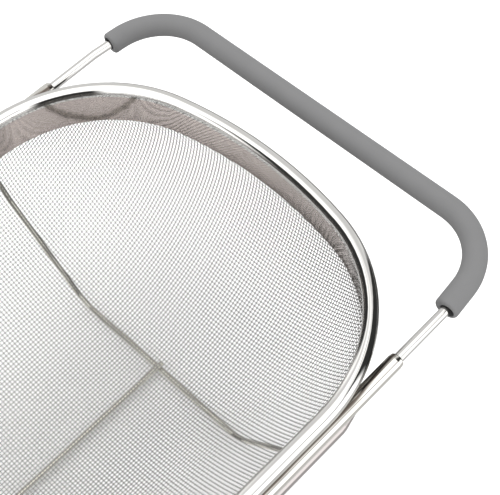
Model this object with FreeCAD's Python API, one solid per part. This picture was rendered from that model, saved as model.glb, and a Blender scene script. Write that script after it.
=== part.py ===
"""Over-the-sink mesh strainer with a rolled rim and two telescoping wire handles.

Units are millimetres and +Z is up.  The origin is on the ground under the middle of
the basket, +X runs along the basket's long side and +Y across it.
"""
import FreeCAD, Part
import math
import os

from FreeCAD import Vector

# ---- rim: an oval of straight sides, corner arcs and flatter end arcs, at the bead's centre ----
RIM_HALF_LENGTH = 176.5
RIM_HALF_WIDTH = 119.2
RIM_CORNER_RADIUS = 82.2
RIM_END_RADIUS = 255.2
RIM_HEIGHT = 102.3          # the bead's centre above the ground
BEAD_RADIUS = 3.8
SHEET = 0.5                 # thickness of the two steel strips
BAND_DROP = 20.5            # from the bead's centre down to the strips' lower edge
CURL_END_DEG = -110.0       # where the curl's free edge stops, underneath the bead
CLAMP_TOP_DROP = 6.0        # from the bead's centre down to the outer strip's upper edge

# ---- mesh bowl: its wall follows depth = BOWL_DEPTH * sin(t) ** BOWL_FULLNESS ----
MESH_THICKNESS = 0.9        # two crossing wires
MESH_TOP_DROP = 7.0
BOWL_DEPTH = 75.0           # below the strips' lower edge
BOWL_FULLNESS = 1.25
BOWL_LEVELS = 12
BOWL_LAST_ANGLE_DEG = 84.0  # the flat middle of the floor starts here

# ---- support wires under the bowl ----
WIRE_RADIUS = 1.5
CROSS_WIRE_X = 84.0
WIRE_SINK = 0.3             # how far two crossing wires sink into each other at the weld
LENGTHWISE_OVERHANG = 2.5   # the lengthwise wire's end past each cross wire
WIRE_LEAN = 1.7             # how far its upper ends stand out towards the basket's ends
WIRE_BAND_SINK = 0.05       # how far its ends sink into the outer strip
WIRE_TUBE_SINK = 0.6        # how far its ends sink into the lower tubes
WIRE_SHOULDER_Z = 76.0      # where the upright end turns inwards, beside the bowl
WIRE_SHOULDER_RADIUS = 8.0
WIRE_ELBOW_Y = 109.5        # where it turns further, towards the foot
WIRE_ELBOW_Z = 55.0
WIRE_ELBOW_RADIUS = 10.0
WIRE_ANKLE_RADIUS = 5.0
FOOT_HALF_WIDTH = 58.0      # half the length that rests on the ground
ANKLE_Y = 65.5              # second bend next to the foot
ANKLE_Z = 6.5

# ---- guide tubes, two on each long side, one above the other ----
TUBE_RADIUS = 3.9
TUBE_WALL = 0.6
TUBE_DROP = 8.2             # from the bead's centre down to the upper tube's axis
TUBE_SPACING = 7.82
TUBE_SINK = 0.02            # how far a tube sinks into the strip at its welds
TUBE_MOUTH_X = 137.4
TUBE_TIP_X = -110.0
TIP_LENGTH = 13.0
TIP_RADIUS = 1.1
TIP_BEVEL = 0.5
TIP_SOLID_LENGTH = 3.0      # the closed part of the pinched tip
SHOULDER_LENGTH = 2.0       # where the tip's cone runs into the tube
SHOULDER_DROP = 0.25
LIP_LENGTH = 2.6
LIP_RADIUS = 2.58           # guides the handle wire with a running clearance
LIP_OUTER_RADIUS = 3.6
LIP_BEVEL = 0.6

# ---- handles ----
ROD_RADIUS = 2.5
HANDLE_REACH = 215.4        # the crossbar's centre line, from the middle of the basket
HANDLE_CORNER_RADIUS = 34.0
KINK_X = 168.0              # the legs lean inwards from here to the corners
KINK_RADIUS = 12.0
SPLAY = math.radians(5.5)
SLIDE_OUT = 80.0            # travel from this pose to fully pulled out
STOP_GAP = 0.8              # left between the flattened end and the lip at full travel
STOP_LENGTH = 8.0           # flattened end of each leg, too wide for the tube's lip
STOP_HALF_HEIGHT = 3.15
STOP_HALF_THICKNESS = 1.7
GRIP_RADIUS = 6.1
GRIP_BORE_RADIUS = 2.52
GRIP_MOUTH_RADIUS = 3.7
GRIP_MOUTH_DEPTH = 5.0
GRIP_MOUTH_OFFSET = 0.8     # the mouth sits this far out from the handle wire
GRIP_BACK_END_X = 178.5     # the sleeve sits a little further round on the front leg
GRIP_FRONT_END_X = 170.5
GRIP_EDGE_FILLET = 1.4
CUT_OVERRUN = 1.0           # cuts start this far outside the material

# ---- places worked out from the dimensions above ----
SCALE_CENTRE_X = RIM_HALF_LENGTH - RIM_HALF_WIDTH
RIM_END_CENTRE_X = RIM_HALF_LENGTH - RIM_END_RADIUS
CORNER_CENTRE_Y = RIM_HALF_WIDTH - RIM_CORNER_RADIUS
CORNER_FROM_END = math.sqrt((RIM_END_RADIUS - RIM_CORNER_RADIUS) ** 2 - CORNER_CENTRE_Y ** 2)
CORNER_CENTRE_X = RIM_END_CENTRE_X + CORNER_FROM_END
ARC_JOIN_ANGLE = math.atan2(CORNER_CENTRE_Y, CORNER_FROM_END)

BAND_INSET = BEAD_RADIUS
MESH_INSET = BAND_INSET - SHEET
CLAMP_INSET = MESH_INSET - MESH_THICKNESS
CLAMP_FACE_Y = RIM_HALF_WIDTH - CLAMP_INSET + SHEET
LIP_Z = RIM_HEIGHT - BAND_DROP

TUBE_Y = CLAMP_FACE_Y + TUBE_RADIUS - TUBE_SINK
UPPER_TUBE_Z = RIM_HEIGHT - TUBE_DROP
LOWER_TUBE_Z = UPPER_TUBE_Z - TUBE_SPACING
ROD_INNER_END_X = TUBE_MOUTH_X - LIP_LENGTH - STOP_GAP - SLIDE_OUT - STOP_LENGTH

CROSS_WIRE_Z = WIRE_RADIUS
LENGTHWISE_WIRE_Z = CROSS_WIRE_Z + 2 * WIRE_RADIUS - WIRE_SINK
CROSS_WIRE_TOP_Y = CLAMP_FACE_Y + WIRE_RADIUS - WIRE_BAND_SINK
CROSS_WIRE_TOP_Z = LOWER_TUBE_Z - TUBE_RADIUS + WIRE_TUBE_SINK


def polar(centre_x, centre_y, radius, angle):
    """Return the plan coordinates of a point on an arc."""
    return centre_x + radius * math.cos(angle), centre_y + radius * math.sin(angle)


def arc(start, middle, end):
    """Return the edge of a circular arc through three points."""
    return Part.Arc(start, middle, end).toShape()


def rim_loop(inset, z, scale=1.0):
    """Return the rim's outline, moved inwards by inset, shrunk towards the middle line."""
    half_width = RIM_HALF_WIDTH - inset
    corner_radius = RIM_CORNER_RADIUS - inset
    end_radius = RIM_END_RADIUS - inset
    middle_angle = (ARC_JOIN_ANGLE + math.pi / 2) / 2
    corner = (CORNER_CENTRE_X, CORNER_CENTRE_Y)

    def place(x, y, side_x, side_y):
        shrunk_x = SCALE_CENTRE_X + (x - SCALE_CENTRE_X) * scale
        return Vector(side_x * shrunk_x, side_y * y * scale, z)

    side_end = (CORNER_CENTRE_X, half_width)
    corner_middle = polar(*corner, corner_radius, middle_angle)
    join = polar(*corner, corner_radius, ARC_JOIN_ANGLE)
    end_middle = (RIM_END_CENTRE_X + end_radius, 0.0)

    edges = []
    for side in (1, -1):
        edges.append(Part.makeLine(place(*side_end, -side, side), place(*side_end, side, side)))
        edges.append(arc(place(*side_end, side, side), place(*corner_middle, side, side),
                         place(*join, side, side)))
        edges.append(arc(place(*join, side, side), place(*end_middle, side, side),
                         place(*join, side, -side)))
        edges.append(arc(place(*join, side, -side), place(*corner_middle, side, -side),
                         place(*side_end, side, -side)))
    return Part.Wire(edges)


def outer_clamp_band():
    """Return the upright outer strip, which holds the mesh's edge against the inner one."""
    outer = Part.Face(rim_loop(CLAMP_INSET - SHEET, LIP_Z))
    inner = Part.Face(rim_loop(CLAMP_INSET, LIP_Z))
    return outer.cut(inner).extrude(Vector(0, 0, BAND_DROP - CLAMP_TOP_DROP))


def rim_band():
    """Return the inner strip, whose top edge is curled outwards into the hollow bead."""
    curl_end = math.radians(CURL_END_DEG)
    start_x = -CORNER_CENTRE_X

    def on_profile(radius, angle):
        return Vector(start_x, RIM_HALF_WIDTH + radius * math.cos(angle),
                      RIM_HEIGHT + radius * math.sin(angle))

    inner_radius = BEAD_RADIUS - SHEET
    strip_foot = Vector(start_x, RIM_HALF_WIDTH - BEAD_RADIUS, LIP_Z)
    strip_back = Vector(start_x, RIM_HALF_WIDTH - inner_radius, LIP_Z)
    half_turn = math.pi
    over_the_top = (half_turn + curl_end) / 2
    profile = Part.Wire([
        Part.makeLine(strip_foot, on_profile(BEAD_RADIUS, half_turn)),
        arc(on_profile(BEAD_RADIUS, half_turn), on_profile(BEAD_RADIUS, over_the_top),
            on_profile(BEAD_RADIUS, curl_end)),
        Part.makeLine(on_profile(BEAD_RADIUS, curl_end), on_profile(inner_radius, curl_end)),
        arc(on_profile(inner_radius, curl_end), on_profile(inner_radius, over_the_top),
            on_profile(inner_radius, half_turn)),
        Part.makeLine(on_profile(inner_radius, half_turn), strip_back),
        Part.makeLine(strip_back, strip_foot),
    ])
    return swept(rim_loop(0.0, RIM_HEIGHT), profile)


def swept(path, profile):
    """Return the solid that a closed profile sweeps along a path."""
    return path.makePipeShell([profile], True, True)


def bowl(inset, depth):
    """Return the solid inside the mesh's surface, from the strips down to the flat floor."""
    loops = [rim_loop(inset, RIM_HEIGHT - MESH_TOP_DROP)]
    for level in range(BOWL_LEVELS + 1):
        angle = math.radians(BOWL_LAST_ANGLE_DEG) * level / BOWL_LEVELS
        drop = depth * math.sin(angle) ** BOWL_FULLNESS
        loops.append(rim_loop(inset, LIP_Z - drop, math.cos(angle)))
    return Part.makeLoft(loops, True, True)


def mesh_basket():
    """Return the mesh as a thin shell, open at the top."""
    outside = bowl(CLAMP_INSET, BOWL_DEPTH + MESH_THICKNESS)
    return outside.cut(bowl(MESH_INSET, BOWL_DEPTH))


def rounded_path(points, radii):
    """Return a wire through the points, with each bend rounded to its own radius."""
    edges = []
    start = points[0]
    for before, bend, after, radius in zip(points, points[1:], points[2:], radii):
        towards = (before - bend).normalize()
        away = (after - bend).normalize()
        half_angle = towards.getAngle(away) / 2
        setback = radius / math.tan(half_angle)
        bisector = (towards + away).normalize()
        arc_start = bend + towards * setback
        arc_end = bend + away * setback
        arc_middle = bend + bisector * (radius / math.sin(half_angle) - radius)
        edges.append(Part.makeLine(start, arc_start))
        edges.append(arc(arc_start, arc_middle, arc_end))
        start = arc_end
    edges.append(Part.makeLine(start, points[-1]))
    return Part.Wire(edges)


def round_bar(path, radius):
    """Return a round bar along a path."""
    first = path.Edges[0]
    start = first.valueAt(first.FirstParameter)
    direction = first.tangentAt(first.FirstParameter)
    return swept(path, Part.Wire(Part.makeCircle(radius, start, direction)))


def cross_wire(end):
    """Return the wire down one side, under the bowl and up the other, near one end (1 or -1)."""
    foot_x = end * CROSS_WIRE_X
    top_x = foot_x + end * WIRE_LEAN
    half = [
        (top_x, CROSS_WIRE_TOP_Y, CROSS_WIRE_TOP_Z),
        (top_x, CROSS_WIRE_TOP_Y, WIRE_SHOULDER_Z),
        (top_x, WIRE_ELBOW_Y, WIRE_ELBOW_Z),
        (foot_x, ANKLE_Y, ANKLE_Z),
        (foot_x, FOOT_HALF_WIDTH, CROSS_WIRE_Z),
    ]
    radii = [WIRE_SHOULDER_RADIUS, WIRE_ELBOW_RADIUS, WIRE_ANKLE_RADIUS, WIRE_ANKLE_RADIUS]
    front = [Vector(x, -y, z) for x, y, z in half]
    back = [Vector(x, y, z) for x, y, z in reversed(half)]
    return round_bar(rounded_path(front + back, radii + radii[::-1]), WIRE_RADIUS)


def lengthwise_wire():
    """Return the straight wire that lies on the cross wires, under the bowl's floor."""
    half_length = CROSS_WIRE_X + LENGTHWISE_OVERHANG
    start = Vector(-half_length, 0, LENGTHWISE_WIRE_Z)
    return Part.makeCylinder(WIRE_RADIUS, 2 * half_length, start, Vector(1, 0, 0))


def guide_tube(direction, y, z):
    """Return a tube whose mouth faces along X in the direction given, and whose tip is closed."""
    bore = TUBE_RADIUS - TUBE_WALL
    tip_shoulder = TUBE_TIP_X + TIP_LENGTH
    lip_start = TUBE_MOUTH_X - LIP_LENGTH
    profile = [
        (TUBE_TIP_X, 0.0),
        (TUBE_TIP_X, TIP_RADIUS - TIP_BEVEL),
        (TUBE_TIP_X + TIP_BEVEL, TIP_RADIUS),
        (tip_shoulder - SHOULDER_LENGTH, TUBE_RADIUS - SHOULDER_DROP),
        (tip_shoulder, TUBE_RADIUS),
        (lip_start, TUBE_RADIUS),
        (TUBE_MOUTH_X - LIP_BEVEL, LIP_OUTER_RADIUS),
        (TUBE_MOUTH_X, LIP_OUTER_RADIUS - LIP_BEVEL),
        (TUBE_MOUTH_X, LIP_RADIUS),
        (lip_start, LIP_RADIUS),
        (lip_start - LIP_BEVEL, bore),
        (tip_shoulder, bore),
        (TUBE_TIP_X + TIP_SOLID_LENGTH, 0.0),
    ]
    points = [Vector(direction * x, y, z + radius) for x, radius in profile]
    face = Part.Face(Part.makePolygon(points + points[:1]))
    return face.revolve(Vector(0, y, z), Vector(1, 0, 0), 360)


def splayed_y(x):
    """Return a leg's distance from the middle line where it splays between kink and corner."""
    return TUBE_Y - (x - KINK_X) * math.tan(SPLAY)


def handle_path(leg_ends, radii, direction, z):
    """Return a handle's centre line from the front leg's end points, over its crossbar, to the back's."""
    corner_y = splayed_y(HANDLE_REACH)
    front, back = leg_ends
    points = [(x, -y) for x, y in front] + [(HANDLE_REACH, -corner_y), (HANDLE_REACH, corner_y)]
    points += [(x, y) for x, y in reversed(back)]
    return rounded_path([Vector(direction * x, y, z) for x, y in points], radii)


def leg_stop(direction, y, z):
    """Return the flattened end of a handle leg."""
    straight = STOP_HALF_HEIGHT - STOP_HALF_THICKNESS
    x = direction * ROD_INNER_END_X
    upper_left = Vector(x, y - STOP_HALF_THICKNESS, z + straight)
    upper_right = Vector(x, y + STOP_HALF_THICKNESS, z + straight)
    lower_left = Vector(x, y - STOP_HALF_THICKNESS, z - straight)
    lower_right = Vector(x, y + STOP_HALF_THICKNESS, z - straight)
    outline = Part.Wire([
        arc(upper_left, Vector(x, y, z + STOP_HALF_HEIGHT), upper_right),
        Part.makeLine(upper_right, lower_right),
        arc(lower_right, Vector(x, y, z - STOP_HALF_HEIGHT), lower_left),
        Part.makeLine(lower_left, upper_left),
    ])
    return Part.Face(outline).extrude(Vector(direction * STOP_LENGTH, 0, 0))


def handle_rod(direction, z):
    """Return the U-shaped handle wire with its two flattened ends."""
    leg = [(ROD_INNER_END_X + STOP_LENGTH / 2, TUBE_Y), (KINK_X, TUBE_Y)]
    radii = [KINK_RADIUS, HANDLE_CORNER_RADIUS, HANDLE_CORNER_RADIUS, KINK_RADIUS]
    bar = round_bar(handle_path((leg, leg), radii, direction, z), ROD_RADIUS)
    stops = [leg_stop(direction, side * TUBE_Y, z) for side in (1, -1)]
    return bar.fuse(stops).removeSplitter()


def sleeve_bar(direction, z, radius, overrun=0.0):
    """Return a round bar along the sleeve's length, run out past both its ends by overrun."""
    ends = [[(x - overrun, splayed_y(x - overrun))] for x in (GRIP_FRONT_END_X, GRIP_BACK_END_X)]
    return round_bar(handle_path(ends, [HANDLE_CORNER_RADIUS] * 2, direction, z), radius)


def grip_mouth(direction, side, end_x, z):
    """Return the wider start of the sleeve's bore, set a little outwards from the handle wire."""
    inwards = Vector(direction * math.cos(SPLAY), -side * math.sin(SPLAY), 0)
    start = Vector(direction * end_x, side * (splayed_y(end_x) + GRIP_MOUTH_OFFSET), z)
    length = GRIP_MOUTH_DEPTH + CUT_OVERRUN
    return Part.makeCylinder(GRIP_MOUTH_RADIUS, length, start - inwards * CUT_OVERRUN, inwards)


def grip(direction, z):
    """Return the soft sleeve over a handle's crossbar and corners."""
    sleeve = sleeve_bar(direction, z, GRIP_RADIUS)
    end_rims = [face.Edges[0] for face in sleeve.Faces if isinstance(face.Surface, Part.Plane)]
    sleeve = sleeve.makeFillet(GRIP_EDGE_FILLET, end_rims)
    sleeve = sleeve.cut(sleeve_bar(direction, z, GRIP_BORE_RADIUS, overrun=CUT_OVERRUN))
    for side, end_x in ((-1, GRIP_FRONT_END_X), (1, GRIP_BACK_END_X)):
        sleeve = sleeve.cut(grip_mouth(direction, side, end_x, z))
    return sleeve


def build():
    """Return every node's shape by name."""
    nodes = {
        "rim_band": rim_band(),
        "outer_clamp_band": outer_clamp_band(),
        "mesh_basket": mesh_basket(),
        "cross_wire_right": cross_wire(1),
        "cross_wire_left": cross_wire(-1),
        "lengthwise_wire": lengthwise_wire(),
    }
    for name, direction, z in (("right", 1, UPPER_TUBE_Z), ("left", -1, LOWER_TUBE_Z)):
        nodes["handle_rod_" + name] = handle_rod(direction, z)
        nodes["grip_" + name] = grip(direction, z)
        nodes["guide_tube_" + name + "_front"] = guide_tube(direction, -TUBE_Y, z)
        nodes["guide_tube_" + name + "_back"] = guide_tube(direction, TUBE_Y, z)
    return nodes


os.makedirs("parts", exist_ok=True)
for node, shape in build().items():
    shape.exportStep("parts/" + node + ".step")
    print(node, shape.isValid(), len(shape.Solids), round(shape.Volume, 1))
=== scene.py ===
"""Looks of the over-the-sink mesh strainer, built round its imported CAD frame.

Lengths are metres in the CAD's own frame: the origin is on the ground under the middle of
the basket, +X runs along its long side and +Z is up.
"""

import math

import bpy
import numpy as np
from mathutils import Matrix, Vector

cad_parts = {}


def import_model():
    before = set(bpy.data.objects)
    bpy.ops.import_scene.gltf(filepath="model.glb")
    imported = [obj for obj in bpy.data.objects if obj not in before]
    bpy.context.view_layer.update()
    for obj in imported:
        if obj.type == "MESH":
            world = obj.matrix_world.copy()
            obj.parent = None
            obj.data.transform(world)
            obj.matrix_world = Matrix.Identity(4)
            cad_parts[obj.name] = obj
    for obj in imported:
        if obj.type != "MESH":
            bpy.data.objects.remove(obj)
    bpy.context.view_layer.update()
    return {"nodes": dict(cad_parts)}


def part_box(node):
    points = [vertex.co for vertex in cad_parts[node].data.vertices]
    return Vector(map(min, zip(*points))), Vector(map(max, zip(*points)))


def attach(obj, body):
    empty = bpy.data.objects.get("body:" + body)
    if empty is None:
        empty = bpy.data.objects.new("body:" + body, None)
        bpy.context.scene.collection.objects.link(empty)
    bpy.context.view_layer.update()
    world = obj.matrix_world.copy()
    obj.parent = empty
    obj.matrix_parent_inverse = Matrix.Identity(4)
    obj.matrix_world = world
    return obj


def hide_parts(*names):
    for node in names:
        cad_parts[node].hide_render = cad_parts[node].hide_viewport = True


MM = 0.001

# ---- mesh bowl: the surface half way through the cloth ----
CORNER_RADIUS = 82.2 * MM       # of the rim's outline, at the bead's centre
END_RADIUS = 255.2 * MM
BEAD_RADIUS = 3.8 * MM
BAND_DROP = 20.5 * MM           # from the bead's centre down to the strips' lower edge
CLOTH_INSET = 2.85 * MM         # from the bead's centre line
CLOTH_DEPTH = 75.45 * MM        # below the strips' lower edge
BOWL_POWER = 1.6                # (distance out) ** 2 + (depth share) ** BOWL_POWER = 1

# ---- woven cloth ----
PITCH = 1.95 * MM               # from one wire to the next, along the surface
WEAVE_WIRE_RADIUS = 0.21 * MM
WEAVE_SWING = 0.20 * MM         # how far a wire steps to each side of the cloth's middle
WEAVE_SIDES = 6
TUCK = 1.0 * MM                 # the wires' ends go this far up between the strips
PITCHES_ALONG = 118             # from the middle, enough to climb past the lip at each axis' end
PITCHES_ACROSS = 86
PITCHES_OVER_LIP = 4            # the net is worked out to this far above the lip
AXIS_ROUNDS = 12                # Newton steps for a crossing on an axis
NET_ROUNDS = 8                  # Newton steps for any other crossing
SURFACE_WEIGHT = 0.1            # brings the surface's value to the size of the other two misses
SLOPE_STEP = 1e-6               # for measuring the surface's slope
TINY = 1e-9                     # keeps divisions away from zero
SHORTEST_WIRE = 3               # crossings; a shorter wire at the cloth's edge is left out

# ---- steel ----
STREAKS_ALONG_X = (60.0, 2500.0, 2500.0)    # texture scales are features per metre
LEAST_ROUGH = 0.5               # share of a steel's roughness that is there everywhere
SMUDGE_SCALE = 28.0
SMUDGE_SHADES = (0.93, 1.04)    # darkest and lightest smudge, times the steel's colour
WAVE_SCALE = 60.0
FINE_STREAK_DEPTH = 0.02 * MM
FINE_STREAK_STRENGTH = 0.15
# The strips' inner face is rougher from just under the bead down, and tinted darker and pinker there
# as painted shade.
BAND_TOP = 101.2 * MM
BAND_FADE = 0.5 * MM
BAND_PAINTED_SHADE = (0.96, 0.87, 0.85)
BAND_EXTRA_ROUGHNESS = 0.03
# A dark brown strip of painted shade runs along each tube, on its upper side next to the rim. Angles
# are degrees from the side facing the rim up.
TUBE_PAINTED_SHADE = (0.13, 0.11, 0.10)
TUBE_SHADE_ANGLE = 62.0          # the strip's middle at the tube's mouth
TUBE_SHADE_CLIMB = 38.0          # how much higher it lies where the tube runs under the bead
TUBE_SHADE_CORE = 11.0           # half width of the full tint
TUBE_SHADE_REACH = 33.0          # half width to where it has faded out
TUBE_SHADE_FROM = 138 * MM       # distance along the rim from its middle, at the tube's mouth
TUBE_SHADE_TO = 104 * MM         # and to where the strip has climbed
TUBE_SHADE_WOBBLE_SCALE = 40.0
TUBE_SHADE_WOBBLE = 0.25              # radians that the strip's edges wander

# ---- sleeves ----
SLEEVE_ROUGHNESS = 0.75
SLEEVE_SHINE = 0.3
SLEEVE_SHADES = ((0.119, 0.119, 0.120), (0.131, 0.131, 0.132))
SLEEVE_CLOUD_SCALE = 90.0
SLEEVE_GRAIN_SCALE = 2600.0
SLEEVE_GRAIN_DEPTH = 0.08 * MM
SLEEVE_GRAIN_STRENGTH = 0.35

# ---- studio ----
FLOOR_HALF_SIZE = 6.0
FLOOR_WHITE = 0.80
FLOOR_ROUGHNESS = 0.9
FLOOR_SHINE = 0.1
STUDIO_STRENGTH = 2.15
# Each dark screen: from and to azimuth, from and to elevation, soft edge (degrees), and shade.
SCREENS = (
    (-150, -108, -42, 40, 6, 0.98),
    (-48, 2, -38, 54, 5, 0.98),
    (86, 153, -24, 44, 5, 0.98),
    (2, 80, -65, 60, 8, 0.55),
    (-100, -40, 38, 47, 2, 0.85),
    (-34, 16, 59, 64, 2, 0.55),
    (-190, 190, -100, -14, 8, 0.42),
    (-85, 45, -90, -16, 8, 0.36),
)

# ---- camera ----
CAMERA_PLACE = (-0.05234, -0.27206, 0.56863)
CAMERA_TURN = (32.5113, 4.9556, -45.5072)       # degrees
CAMERA_LENS = 84.79
SENSOR_WIDTH = 36.0
CAMERA_FAR_LIMIT = 20.0


def rim_size():
    """Return the rim's half length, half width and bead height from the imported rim."""
    low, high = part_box("rim_band")
    return high.x - BEAD_RADIUS, high.y - BEAD_RADIUS, high.z - BEAD_RADIUS


class Bowl:
    """The cloth's middle surface, as a function that is zero on it."""

    def __init__(self, half_length, half_width, bead_height):
        self.width = half_width - CLOTH_INSET
        self.corner = CORNER_RADIUS - CLOTH_INSET
        self.end = END_RADIUS - CLOTH_INSET
        self.middle_x = half_length - half_width
        self.lip = bead_height - BAND_DROP
        corner_y = half_width - CORNER_RADIUS
        from_end = math.sqrt((END_RADIUS - CORNER_RADIUS) ** 2 - corner_y ** 2)
        end_x = half_length - END_RADIUS
        self.corner_centre = np.array([end_x + from_end - self.middle_x, corner_y])
        self.end_centre = np.array([end_x - self.middle_x, 0.0])
        self.join_angle = math.atan2(corner_y, from_end)

    def share_out(self, points):
        """Return how far out each point is: 0 on the middle line and 1 on the outline."""
        x = np.maximum(np.abs(points[:, 0]) - self.middle_x, 0.0)
        y = np.abs(points[:, 1])
        reach = np.maximum(np.hypot(x, y), TINY)
        direction = np.stack([x, y], axis=1) / reach[:, None]
        to_side = self.width / np.maximum(direction[:, 1], TINY)
        to_corner, corner_point = self.along_ray(direction, self.corner_centre, self.corner)
        to_end, _ = self.along_ray(direction, self.end_centre, self.end)
        angle = np.arctan2(corner_point[:, 1] - self.corner_centre[1],
                           corner_point[:, 0] - self.corner_centre[0])
        on_side = to_side * direction[:, 0] <= self.corner_centre[0]
        outline = np.where(on_side, to_side, np.where(angle >= self.join_angle, to_corner, to_end))
        return reach / outline

    @staticmethod
    def along_ray(direction, centre, radius):
        """Return the distance from the origin to a circle along each direction, and the points."""
        towards = direction @ centre
        inside = np.maximum(towards ** 2 - centre @ centre + radius ** 2, 0.0)
        distance = towards + np.sqrt(inside)
        return distance, direction * distance[:, None]

    def value(self, points):
        """Return how far each point is off the surface: negative inside the bowl."""
        depth = np.maximum(self.lip - points[:, 2], 0.0) / CLOTH_DEPTH
        return self.share_out(points) ** 2 + depth ** BOWL_POWER - 1.0

    def gradient(self, points):
        """Return the slope of the surface's value along each axis."""
        columns = []
        for axis in range(3):
            offset = np.zeros(3)
            offset[axis] = SLOPE_STEP
            difference = self.value(points + offset) - self.value(points - offset)
            columns.append(difference / (2 * SLOPE_STEP))
        return np.stack(columns, axis=1)

    def normal(self, points):
        """Return the outward direction of the surface at each point."""
        slope = self.gradient(points)
        return slope / np.linalg.norm(slope, axis=1, keepdims=True)


def settle(bowl, guess, first, second):
    """Return the surface points one pitch away from both of two known neighbours."""
    points = guess.copy()
    for _ in range(NET_ROUNDS):
        to_first = points - first
        to_second = points - second
        misses = np.stack([
            bowl.value(points) * SURFACE_WEIGHT,
            (np.einsum("ij,ij->i", to_first, to_first) - PITCH ** 2) / PITCH,
            (np.einsum("ij,ij->i", to_second, to_second) - PITCH ** 2) / PITCH,
        ], axis=1)
        rows = np.stack([
            bowl.gradient(points) * SURFACE_WEIGHT,
            2 * to_first / PITCH,
            2 * to_second / PITCH,
        ], axis=1)
        step = np.linalg.solve(rows, misses[:, :, None])[:, :, 0]
        length = np.linalg.norm(step, axis=1, keepdims=True)
        points -= step * np.minimum(1.0, PITCH / 2 / np.maximum(length, TINY))
    return points


def walk_axis(bowl, axis, count):
    """Return points one pitch apart on the surface, from its lowest point straight along an axis."""
    points = [np.array([0.0, 0.0, bowl.lip - CLOTH_DEPTH])]
    guess = points[0].copy()
    guess[axis] += PITCH
    for _ in range(count - 1):
        last = points[-1]
        found = guess.copy()
        for _ in range(AXIS_ROUNDS):
            one = found[None, :]
            gradient = bowl.gradient(one)[0]
            offset = found - last
            rows = np.array([[gradient[axis], gradient[2]], [2 * offset[axis], 2 * offset[2]]])
            misses = np.array([bowl.value(one)[0], offset @ offset - PITCH ** 2])
            step = np.linalg.solve(rows, misses)
            found[axis] -= step[0]
            found[2] -= step[1]
        points.append(found)
        guess = 2 * found - last
    return np.array(points)


def quarter_net(bowl):
    """Return one quarter of the crossing points of two wire families that never stretch."""
    top = bowl.lip + PITCHES_OVER_LIP * PITCH
    along = walk_axis(bowl, 0, PITCHES_ALONG)
    across = walk_axis(bowl, 1, PITCHES_ACROSS)
    along[along[:, 2] > top] = np.nan
    across[across[:, 2] > top] = np.nan
    net = np.full((len(along), len(across), 3), np.nan)
    net[:, 0] = along
    net[0, :] = across
    for diagonal in range(2, len(along) + len(across) - 1):
        i = np.arange(max(1, diagonal - len(across) + 1), min(len(along), diagonal))
        j = diagonal - i
        first, second, corner = net[i - 1, j], net[i, j - 1], net[i - 1, j - 1]
        known = ~np.isnan(first + second + corner).any(axis=1)
        if not known.any():
            continue
        i, j = i[known], j[known]
        first, second, corner = first[known], second[known], corner[known]
        found = settle(bowl, first + second - corner, first, second)
        found[found[:, 2] > top] = np.nan
        net[i, j] = found
    return net


def mirrored(net):
    """Return the whole net from one quarter of it, and each crossing's over or under sign."""
    right = np.concatenate([net[:0:-1] * (-1, 1, 1), net])
    whole = np.concatenate([right[:, :0:-1] * (1, -1, 1), right], axis=1)
    rows, columns = np.indices(whole.shape[:2])
    return whole, np.where((rows + columns) % 2 == 0, 1.0, -1.0)


def wire_line(points, normals, signs, top):
    """Return one wire's centre line, woven over and under, with its ends cut off level."""
    inside = np.flatnonzero(points[:, 2] <= top)
    if len(inside) < SHORTEST_WIRE:
        return None
    first, last = inside[0], inside[-1]
    kept = slice(first, last + 1)
    facing = normals[kept]
    line = points[kept] + facing * signs[kept, None] * WEAVE_SWING
    for end, beyond in ((0, first - 1), (-1, last + 1)):
        known = 0 <= beyond < len(points) and not np.isnan(points[beyond, 2])
        if not known:
            continue
        near = points[first] if end == 0 else points[last]
        share = (top - near[2]) / (points[beyond, 2] - near[2])
        tip = near + (points[beyond] - near) * share
        extra_line = [tip, *line] if end == 0 else [*line, tip]
        extra_facing = [facing[0], *facing] if end == 0 else [*facing, facing[-1]]
        line, facing = np.array(extra_line), np.array(extra_facing)
    return line, facing


def tube_rings(line, facing, radius, sides):
    """Return the rings of points round a wire's centre line."""
    along = np.gradient(line, axis=0)
    along /= np.linalg.norm(along, axis=1, keepdims=True)
    sideways = np.cross(facing, along)
    sideways /= np.linalg.norm(sideways, axis=1, keepdims=True)
    upwards = np.cross(along, sideways)
    angles = np.arange(sides) * 2 * math.pi / sides
    return (line[:, None, :] + radius * (np.cos(angles)[None, :, None] * upwards[:, None, :]
                                         + np.sin(angles)[None, :, None] * sideways[:, None, :]))


def tube_quads(ring_count, sides, start):
    """Return the faces between neighbouring rings, as indices of their corner points."""
    ring = np.arange(ring_count - 1)[:, None] * sides + start
    side = np.arange(sides)[None, :]
    following = (side + 1) % sides
    corners = [ring + side, ring + following, ring + sides + following, ring + sides + side]
    return np.stack(corners, axis=2).reshape(-1, 4)


def mesh_from_arrays(name, points, quads, caps):
    """Return an object made of four-sided faces and of end caps, all shaded smooth."""
    mesh = bpy.data.meshes.new(name)
    corners = np.concatenate([quads.ravel(), caps.ravel()]).astype(np.int32)
    sizes = np.concatenate([np.full(len(quads), 4), np.full(len(caps), caps.shape[1])])
    starts = np.concatenate([[0], np.cumsum(sizes)[:-1]]).astype(np.int32)
    mesh.vertices.add(len(points))
    mesh.vertices.foreach_set("co", points.astype(np.float32).ravel())
    mesh.loops.add(len(corners))
    mesh.loops.foreach_set("vertex_index", corners)
    mesh.polygons.add(len(sizes))
    mesh.polygons.foreach_set("loop_start", starts)
    mesh.polygons.foreach_set("use_smooth", np.ones(len(sizes), bool))
    mesh.update(calc_edges=True)
    mesh.validate()
    piece = bpy.data.objects.new(name, mesh)
    bpy.context.scene.collection.objects.link(piece)
    return piece


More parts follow.
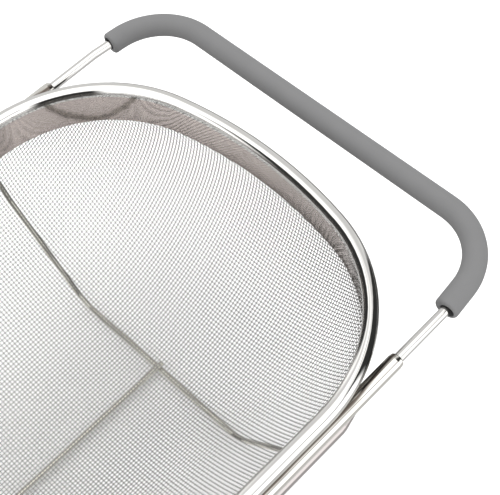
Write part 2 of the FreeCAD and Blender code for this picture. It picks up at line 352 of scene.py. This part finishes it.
def woven_piece(name, lines):
    """Return one object that holds all the wires whose centre lines are given."""
    points, quads, caps, start = [], [], [], 0
    for line, facing in lines:
        rings = tube_rings(line, facing, WEAVE_WIRE_RADIUS, WEAVE_SIDES)
        count = len(rings)
        points.append(rings.reshape(-1, 3))
        quads.append(tube_quads(count, WEAVE_SIDES, start))
        first_ring = np.arange(WEAVE_SIDES) + start
        caps.append(first_ring[::-1])
        caps.append(first_ring + (count - 1) * WEAVE_SIDES)
        start += count * WEAVE_SIDES
    return mesh_from_arrays(name, np.concatenate(points), np.concatenate(quads), np.array(caps))


def woven_cloth():
    """Return the cloth's pieces: two families of wires, each in two halves."""
    bowl = Bowl(*rim_size())
    net, signs = mirrored(quarter_net(bowl))
    flat = net.reshape(-1, 3)
    known = ~np.isnan(flat[:, 0])
    normals = np.full(flat.shape, np.nan)
    normals[known] = bowl.normal(flat[known])
    normals = normals.reshape(net.shape)
    top = bowl.lip + TUCK

    def family(points, facing, over, names):
        middle = points.shape[0] // 2
        lines = [wire_line(points[k], facing[k], over[k], top) for k in range(len(points))]
        halves = (lines[:middle], lines[middle:])
        return [woven_piece(name, filter(None, half)) for name, half in zip(names, halves)]

    swap = (1, 0, 2)
    lengthwise = family(net.transpose(swap), normals.transpose(swap), signs.T,
                        ("cloth_lengthwise_front", "cloth_lengthwise_back"))
    crosswise = family(net, normals, -signs, ("cloth_crosswise_left", "cloth_crosswise_right"))
    return lengthwise + crosswise


# ---- materials ----

MIX_FIRST, MIX_SECOND, MIX_RESULT = 6, 7, 2     # a colour mix's sockets


class Nodes:
    """Short ways to add and join the nodes of one material or world."""

    def __init__(self, owner):
        owner.use_nodes = True
        self.tree = owner.node_tree

    def find(self, kind):
        """Return the first node of a kind."""
        return next(node for node in self.tree.nodes if node.type == kind)

    def add(self, kind, **settings):
        """Return a new node with some of its own settings changed."""
        node = self.tree.nodes.new(kind)
        for key, value in settings.items():
            setattr(node, key, value)
        return node

    def join(self, source, target):
        """Feed an input from another node's output, or set it to a plain value."""
        if isinstance(source, bpy.types.NodeSocket):
            self.tree.links.new(source, target)
        else:
            target.default_value = source

    def fill(self, node, values):
        """Join values to a node's inputs, by the inputs' names or numbers."""
        for key, value in values.items():
            self.join(value, node.inputs[key])
        return node

    def math(self, operation, *values):
        """Return the result of one sum on plain values and other nodes' outputs."""
        node = self.add("ShaderNodeMath", operation=operation)
        return self.fill(node, dict(enumerate(values))).outputs[0]

    def ramp(self, value, start, end, low=0.0, high=1.0, kind="SMOOTHSTEP"):
        """Return a ramp that is low at the start value and high at the end value."""
        node = self.add("ShaderNodeMapRange", interpolation_type=kind)
        limits = {"From Min": start, "From Max": end, "To Min": low, "To Max": high}
        return self.fill(node, {"Value": value, **limits}).outputs["Result"]

    def split(self, vector):
        """Return the X, Y and Z parts of a vector."""
        return self.fill(self.add("ShaderNodeSeparateXYZ"), {0: vector}).outputs


class Look(Nodes):
    """A material, with its Principled shader and the object's own coordinates."""

    def __init__(self, name):
        self.material = bpy.data.materials.new(name)
        super().__init__(self.material)
        self.shader = self.find("BSDF_PRINCIPLED")
        coordinates = self.add("ShaderNodeTexCoord").outputs
        self.place = coordinates["Object"]
        self.normal = coordinates["Normal"]

    def noise(self, vector, scale, detail):
        """Return soft noise between 0 and 1."""
        node = self.add("ShaderNodeTexNoise")
        return self.fill(node, {"Vector": vector, "Scale": scale, "Detail": detail}).outputs["Fac"]

    def mix(self, factor, first, second, blend_type="MIX"):
        """Return the blend of two colours."""
        node = self.add("ShaderNodeMix", data_type="RGBA", blend_type=blend_type)
        self.fill(node, {"Factor": factor, MIX_FIRST: first, MIX_SECOND: second})
        return node.outputs[MIX_RESULT]

    def bump(self, height, strength, depth, under=None):
        """Return the normal of a surface with bumps, over other bumps if there are any."""
        node = self.add("ShaderNodeBump")
        self.fill(node, {"Height": height, "Strength": strength, "Distance": depth})
        if under is not None:
            self.join(under, node.inputs["Normal"])
        return node.outputs["Normal"]


def opaque(colour, times=1.0):
    """Return a colour with its brightness changed and with full alpha."""
    return (*(min(part * times, 1.0) for part in colour), 1.0)


def steel(name, colour, roughness, streaks, wave_height, treatment=None):
    """Return polished steel with faint drawing streaks, smudges and slow waves.

    streaks holds the streaks' scale along each axis. A treatment is a function that changes
    the steel's tint and roughness.
    """
    look = Look(name)
    stretch = look.fill(look.add("ShaderNodeMapping"), {"Vector": look.place, "Scale": streaks})
    drawing = look.noise(stretch.outputs["Vector"], scale=1.0, detail=4.0)
    smudges = look.noise(look.place, SMUDGE_SCALE, detail=3.0)
    dark, light = (opaque(colour, shade) for shade in SMUDGE_SHADES)
    tint = look.mix(smudges, dark, light)
    rough = look.math("MULTIPLY_ADD", drawing, roughness, roughness * LEAST_ROUGH)
    if treatment:
        tint, rough = treatment(look, tint, rough)
    waves = look.noise(look.place, WAVE_SCALE, detail=1.0)
    swell = look.bump(waves, 1.0, wave_height)
    normal = look.bump(drawing, FINE_STREAK_STRENGTH, FINE_STREAK_DEPTH, under=swell)
    look.fill(look.shader, {"Metallic": 1.0, "Base Color": tint, "Roughness": rough, "Normal": normal})
    return look.material


def shade_and_roughen_inner_face(look, tint, rough):
    """Paint shade on the side of the strip that faces the middle of the basket, and make it rougher
    there.
    """
    outward = look.add("ShaderNodeVectorMath", operation="DOT_PRODUCT")
    look.fill(outward, {0: look.place, 1: look.normal})
    inner = look.math("LESS_THAN", outward.outputs["Value"], 0.0)
    height = look.split(look.place)["Z"]
    under = look.ramp(height, BAND_TOP, BAND_TOP - BAND_FADE, kind="LINEAR")
    share = look.math("MULTIPLY", under, inner)
    # painted shade: the inner face's colour is multiplied by a darker, pinker tint
    return (look.mix(share, tint, opaque(BAND_PAINTED_SHADE), "MULTIPLY"),
            look.math("MULTIPLY_ADD", share, BAND_EXTRA_ROUGHNESS, rough))


def paint_tube_shade(look, tint, rough):
    """Paint a strip of shade along a guide tube, on its upper side next to the rim."""
    normal = look.split(look.normal)
    position = look.split(look.place)
    outward = look.math("MULTIPLY", normal["Y"], look.math("SIGN", position["Y"]))
    inward = look.math("MULTIPLY", outward, -1.0)
    angle = look.math("ARCTAN2", normal["Z"], inward)
    low = math.radians(TUBE_SHADE_ANGLE)
    high = math.radians(TUBE_SHADE_ANGLE + TUBE_SHADE_CLIMB)
    middle = look.ramp(look.math("ABSOLUTE", position["X"]), TUBE_SHADE_FROM, TUBE_SHADE_TO, low, high)
    apart = look.math("ABSOLUTE", look.math("SUBTRACT", angle, middle))
    wobble = look.noise(look.place, TUBE_SHADE_WOBBLE_SCALE, detail=2.0)
    uneven = look.math("MULTIPLY_ADD", wobble, TUBE_SHADE_WOBBLE, apart)
    cover = look.ramp(uneven, math.radians(TUBE_SHADE_REACH), math.radians(TUBE_SHADE_CORE))
    # painted shade: the strip's dark brown is multiplied into the tube's colour
    return look.mix(cover, tint, opaque(TUBE_PAINTED_SHADE), "MULTIPLY"), rough


def sleeve_rubber():
    """Return the sleeves' matte grey, with a fine grain."""
    look = Look("sleeve_rubber")
    cloud = look.noise(look.place, SLEEVE_CLOUD_SCALE, detail=3.0)
    dark, light = (opaque(shade) for shade in SLEEVE_SHADES)
    grain = look.noise(look.place, SLEEVE_GRAIN_SCALE, detail=2.0)
    look.fill(look.shader, {
        "Base Color": look.mix(cloud, dark, light),
        "Roughness": SLEEVE_ROUGHNESS,
        "Specular IOR Level": SLEEVE_SHINE,
        "Normal": look.bump(grain, SLEEVE_GRAIN_STRENGTH, SLEEVE_GRAIN_DEPTH),
    })
    return look.material


def looks_by_piece():
    """Return each CAD piece's material, by the first part of its name."""
    strip = steel("polished_strip", colour=(0.63, 0.62, 0.60), roughness=0.04, streaks=(400.0,) * 3,
                  wave_height=0.02 * MM, treatment=shade_and_roughen_inner_face)
    # both guide tubes carry the painted strip of shade along their upper side
    upper_tube = steel("polished_tube", colour=(0.63, 0.615, 0.575), roughness=0.05,
                       streaks=STREAKS_ALONG_X, wave_height=0.01 * MM, treatment=paint_tube_shade)
    # painted shade: the lower guide tubes use a darker copy of the tube steel, since they sit lower
    # under the rim
    shaded_lower_tube = steel("polished_tube_painted_shade", colour=(0.42, 0.39, 0.38), roughness=0.05,
                       streaks=STREAKS_ALONG_X, wave_height=0.01 * MM, treatment=paint_tube_shade)
    rod = steel("bright_rod", colour=(0.62, 0.61, 0.59), roughness=0.06, streaks=STREAKS_ALONG_X,
                wave_height=0.01 * MM)
    wire = steel("bright_wire", colour=(0.48, 0.47, 0.42), roughness=0.12, streaks=(300.0,) * 3,
                 wave_height=0.01 * MM)
    return {
        "rim": strip,
        "outer": strip,
        "guide_tube_right": upper_tube,
        "guide_tube_left": shaded_lower_tube,
        "cross": wire,
        "lengthwise": wire,
        "handle": rod,
        "grip": sleeve_rubber(),
    }


def weave_steel():
    """Return the steel of the cloth's fine wires."""
    return steel("weave_wire", colour=(0.275, 0.268, 0.258), roughness=0.16, streaks=(300.0,) * 3,
                 wave_height=0.005 * MM)


def paint(thing, material):
    """Give an object this material in every slot, without changing its mesh."""
    if not thing.material_slots:
        thing.data.materials.append(material)
    for material_slot in thing.material_slots:
        material_slot.link = "OBJECT"
        material_slot.material = material


# ---- stage ----

def floor():
    """Lay a plain white floor that the steel doesn't reflect."""
    mesh = bpy.data.meshes.new("floor")
    size = FLOOR_HALF_SIZE
    corners = [(-size, -size, 0), (size, -size, 0), (size, size, 0), (-size, size, 0)]
    mesh.from_pydata(corners, [], [(0, 1, 2, 3)])
    plane = bpy.data.objects.new("floor", mesh)
    bpy.context.scene.collection.objects.link(plane)
    look = Look("floor_white")
    white = (FLOOR_WHITE, FLOOR_WHITE, FLOOR_WHITE, 1.0)
    look.fill(look.shader, {
        "Base Color": white,
        "Roughness": FLOOR_ROUGHNESS,
        "Specular IOR Level": FLOOR_SHINE,
    })
    paint(plane, look.material)
    plane.visible_glossy = False


def surroundings():
    """A white studio with dark screens round it, which only reflections can see."""
    world = bpy.data.worlds.new("studio")
    bpy.context.scene.world = world
    nodes = Nodes(world)

    def within(direction, start, end, edge):
        """Return 1 between two angles and 0 outside them, with a soft edge."""
        half = (end - start) / 2
        distance = nodes.math("ABSOLUTE", direction)
        return nodes.ramp(distance, math.radians(half + edge), math.radians(half - edge))

    parts = nodes.split(nodes.add("ShaderNodeTexCoord").outputs["Generated"])
    azimuth = nodes.math("ARCTAN2", parts["Y"], parts["X"])
    elevation = nodes.math("ARCSINE", parts["Z"])
    level = 1.0
    for west, east, low, high, edge, shade in SCREENS:
        turn = nodes.math("SUBTRACT", azimuth, math.radians((west + east) / 2))
        turn = nodes.math("WRAP", turn, math.pi, -math.pi)
        lift = nodes.math("SUBTRACT", elevation, math.radians((low + high) / 2))
        cover = nodes.math("MULTIPLY", within(turn, west, east, edge), within(lift, low, high, edge))
        level = nodes.math("MULTIPLY", level, nodes.math("MULTIPLY_ADD", cover, -shade, 1.0))
    reflected = nodes.add("ShaderNodeLightPath").outputs["Is Glossy Ray"]
    level = nodes.math("MAXIMUM", level, nodes.math("SUBTRACT", 1.0, reflected))
    nodes.fill(nodes.find("BACKGROUND"), {"Color": level, "Strength": STUDIO_STRENGTH})


def camera():
    """Look down at the basket's right half from beside its front."""
    data = bpy.data.cameras.new("camera")
    data.sensor_width = SENSOR_WIDTH
    data.lens = CAMERA_LENS
    data.clip_end = CAMERA_FAR_LIMIT
    thing = bpy.data.objects.new("camera", data)
    thing.location = CAMERA_PLACE
    thing.rotation_euler = [math.radians(angle) for angle in CAMERA_TURN]
    bpy.context.scene.collection.objects.link(thing)
    bpy.context.scene.camera = thing


def main():
    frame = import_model()
    for start, material in looks_by_piece().items():
        for name, node in frame["nodes"].items():
            if name.startswith(start):
                paint(node, material)
    weave = weave_steel()
    for piece in woven_cloth():
        paint(piece, weave)
        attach(piece, "basket")
        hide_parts("mesh_basket")
    floor()
    surroundings()
    camera()
    view = bpy.context.scene.view_settings
    view.view_transform = "Standard"


main()
